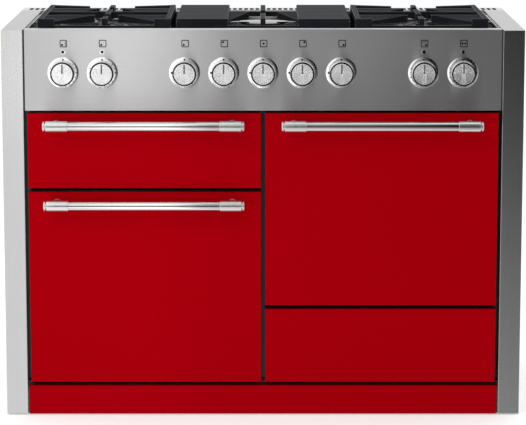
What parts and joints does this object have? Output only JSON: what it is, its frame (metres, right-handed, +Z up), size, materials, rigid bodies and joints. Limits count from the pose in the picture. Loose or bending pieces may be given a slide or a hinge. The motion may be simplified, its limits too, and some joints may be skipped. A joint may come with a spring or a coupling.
{
  "type": "range cooker",
  "caption": "Free-standing dual fuel range cooker with steel side columns, a gas hob, drop-down oven and grill doors with bar handles, and a storage drawer.",
  "frame": {"origin": "centre of the footprint on the floor", "axes": "+X to the right seen from the front, +Y towards the rear, +Z up"},
  "size_m": [1.215, 0.655, 0.935],
  "materials": {
    "red_enamel": "glossy red enamel",
    "brushed_steel": "lengthwise brushed stainless steel",
    "tray_steel": "bright pressed stainless steel",
    "bezel_steel": "satin ring with printed marks",
    "polished_steel": "polished stainless steel",
    "knob_metal": "turned satin metal with a dark pointer line",
    "cast_iron": "satin black cast iron",
    "black_enamel": "gloss black vitreous enamel",
    "inner_panel": "black enamelled inner panel",
    "zinc_steel": "zinc coated steel",
    "rack_wire": "bright plated wire",
    "burner_alloy": "cast aluminium",
    "motor_steel": "plain steel motor can",
    "element_steel": "heat-darkened steel sheath",
    "gas_brass": "plain brass",
    "switch_plastic": "pale moulded plastic",
    "red_lens": "dark red translucent lens",
    "seal_rubber": "black silicone seal",
    "roller_rubber": "hard black rubber"
  },
  "bodies": {
    "cooker_body": {"base_pan": "zinc_steel", "left_column": "brushed_steel", "right_column": "brushed_steel", "back_panel": "zinc_steel", "front_frame": "black_enamel", "control_panel": "brushed_steel", "plinth": "red_enamel", "hob_tray": "tray_steel", "rear_vent_trim": "brushed_steel", "left_oven_liner": "black_enamel", "right_oven_liner": "black_enamel", "grill_liner": "black_enamel", "oven_racks": "rack_wire", "grill_pan": "black_enamel", "fan_motors": "motor_steel", "heating_elements": "element_steel", "burner_heads": "burner_alloy", "burner_caps": "black_enamel", "knob_bezels": "bezel_steel", "indicator_lights": "red_lens", "gas_manifold": "gas_brass", "gas_valves": "gas_brass", "oven_switches": "switch_plastic", "door_seals": "seal_rubber", "screws": "zinc_steel", "levelling_feet": "zinc_steel"},
    "grill_door": {"grill_door_panel": "red_enamel", "grill_door_liner": "inner_panel", "grill_door_hinges": "zinc_steel", "grill_door_handle": "polished_steel"},
    "left_oven_door": {"left_door_panel": "red_enamel", "left_door_liner": "inner_panel", "left_door_hinges": "zinc_steel", "left_door_handle": "polished_steel"},
    "right_oven_door": {"right_door_panel": "red_enamel", "right_door_liner": "inner_panel", "right_door_hinges": "zinc_steel", "right_door_handle": "polished_steel"},
    "storage_drawer": {"drawer_front": "red_enamel", "drawer_box": "zinc_steel"},
    "left_oven_fan": {"left_fan": "burner_alloy"},
    "right_oven_fan": {"right_fan": "burner_alloy"},
    "roller_axle": {"rear_rollers": "roller_rubber"},
    "grate_left": {"left_grate": "cast_iron"},
    "grate_centre": {"centre_grate": "cast_iron"},
    "grate_right": {"right_grate": "cast_iron"},
    "grill_knob_body": {"grill_knob": "knob_metal"},
    "oven_function_knob_body": {"oven_function_knob": "knob_metal"},
    "front_left_knob_body": {"front_left_knob": "knob_metal"},
    "rear_left_knob_body": {"rear_left_knob": "knob_metal"},
    "centre_knob_body": {"centre_knob": "knob_metal"},
    "rear_right_knob_body": {"rear_right_knob": "knob_metal"},
    "front_right_knob_body": {"front_right_knob": "knob_metal"},
    "left_oven_knob_body": {"left_oven_knob": "knob_metal"},
    "right_oven_knob_body": {"right_oven_knob": "knob_metal"},
    "front_left_tap": {"front_left_spindle": "gas_brass"},
    "rear_left_tap": {"rear_left_spindle": "gas_brass"},
    "centre_tap": {"centre_spindle": "gas_brass"},
    "rear_right_tap": {"rear_right_spindle": "gas_brass"},
    "front_right_tap": {"front_right_spindle": "gas_brass"}
  },
  "joints": [
    {"name": "grill_door_hinge", "type": "hinge", "parent": "cooker_body", "child": "grill_door", "pos_m": [-0.27675, -0.2565, 0.557], "axis": [1, 0, 0], "range_deg": [0, 90]},
    {"name": "left_oven_door_hinge", "type": "hinge", "parent": "cooker_body", "child": "left_oven_door", "pos_m": [-0.27675, -0.2565, 0.092], "axis": [1, 0, 0], "range_deg": [0, 90]},
    {"name": "right_oven_door_hinge", "type": "hinge", "parent": "cooker_body", "child": "right_oven_door", "pos_m": [0.27675, -0.2565, 0.277], "axis": [1, 0, 0], "range_deg": [0, 90]},
    {"name": "drawer_slide", "type": "slide", "parent": "cooker_body", "child": "storage_drawer", "axis": [0, -1, 0], "range_m": [0, 0.35]},
    {"name": "grill_knob_turn", "type": "hinge", "parent": "cooker_body", "child": "grill_knob_body", "pos_m": [-0.464, -0.2921, 0.8165], "axis": [0, 1, 0], "range_deg": [0, 180]},
    {"name": "oven_function_knob_turn", "type": "hinge", "parent": "cooker_body", "child": "oven_function_knob_body", "pos_m": [-0.373, -0.2921, 0.8165], "axis": [0, 1, 0], "range_deg": [0, 180]},
    {"name": "front_left_push", "type": "slide", "parent": "cooker_body", "child": "front_left_tap", "axis": [0, 1, 0], "range_m": [0, 0.004], "stiffness_N_per_m": 1500, "springref_m": -0.004},
    {"name": "front_left_knob_turn", "type": "hinge", "parent": "front_left_tap", "child": "front_left_knob_body", "pos_m": [-0.182, -0.2921, 0.8165], "axis": [0, -1, 0], "range_deg": [0, 210]},
    {"name": "rear_left_push", "type": "slide", "parent": "cooker_body", "child": "rear_left_tap", "axis": [0, 1, 0], "range_m": [0, 0.004], "stiffness_N_per_m": 1500, "springref_m": -0.004},
    {"name": "rear_left_knob_turn", "type": "hinge", "parent": "rear_left_tap", "child": "rear_left_knob_body", "pos_m": [-0.091, -0.2921, 0.8165], "axis": [0, -1, 0], "range_deg": [0, 210]},
    {"name": "centre_push", "type": "slide", "parent": "cooker_body", "child": "centre_tap", "axis": [0, 1, 0], "range_m": [0, 0.004], "stiffness_N_per_m": 1500, "springref_m": -0.004},
    {"name": "centre_knob_turn", "type": "hinge", "parent": "centre_tap", "child": "centre_knob_body", "pos_m": [0, -0.2921, 0.8165], "axis": [0, -1, 0], "range_deg": [0, 210]},
    {"name": "rear_right_push", "type": "slide", "parent": "cooker_body", "child": "rear_right_tap", "axis": [0, 1, 0], "range_m": [0, 0.004], "stiffness_N_per_m": 1500, "springref_m": -0.004},
    {"name": "rear_right_knob_turn", "type": "hinge", "parent": "rear_right_tap", "child": "rear_right_knob_body", "pos_m": [0.091, -0.2921, 0.8165], "axis": [0, -1, 0], "range_deg": [0, 210]},
    {"name": "front_right_push", "type": "slide", "parent": "cooker_body", "child": "front_right_tap", "axis": [0, 1, 0], "range_m": [0, 0.004], "stiffness_N_per_m": 1500, "springref_m": -0.004},
    {"name": "front_right_knob_turn", "type": "hinge", "parent": "front_right_tap", "child": "front_right_knob_body", "pos_m": [0.182, -0.2921, 0.8165], "axis": [0, -1, 0], "range_deg": [0, 210]},
    {"name": "left_oven_knob_turn", "type": "hinge", "parent": "cooker_body", "child": "left_oven_knob_body", "pos_m": [0.373, -0.2921, 0.8165], "axis": [0, 1, 0], "range_deg": [0, 285]},
    {"name": "right_oven_knob_turn", "type": "hinge", "parent": "cooker_body", "child": "right_oven_knob_body", "pos_m": [0.464, -0.2921, 0.8165], "axis": [0, 1, 0], "range_deg": [0, 285]},
    {"name": "left_grate_lift", "type": "slide", "parent": "cooker_body", "child": "grate_left", "axis": [0, 0, 1], "range_m": [0, 0.08]},
    {"name": "centre_grate_lift", "type": "slide", "parent": "cooker_body", "child": "grate_centre", "axis": [0, 0, 1], "range_m": [0, 0.08]},
    {"name": "right_grate_lift", "type": "slide", "parent": "cooker_body", "child": "grate_right", "axis": [0, 0, 1], "range_m": [0, 0.08]},
    {"name": "left_fan_spin", "type": "hinge", "parent": "cooker_body", "child": "left_oven_fan", "pos_m": [-0.27675, 0.1955, 0.31], "axis": [0, 1, 0], "continuous": true},
    {"name": "right_fan_spin", "type": "hinge", "parent": "cooker_body", "child": "right_oven_fan", "pos_m": [0.27675, 0.1955, 0.4955], "axis": [0, 1, 0], "continuous": true},
    {"name": "roller_turn", "type": "hinge", "parent": "cooker_body", "child": "roller_axle", "pos_m": [0, 0.2475, 0.025], "axis": [1, 0, 0], "continuous": true}
  ]
}
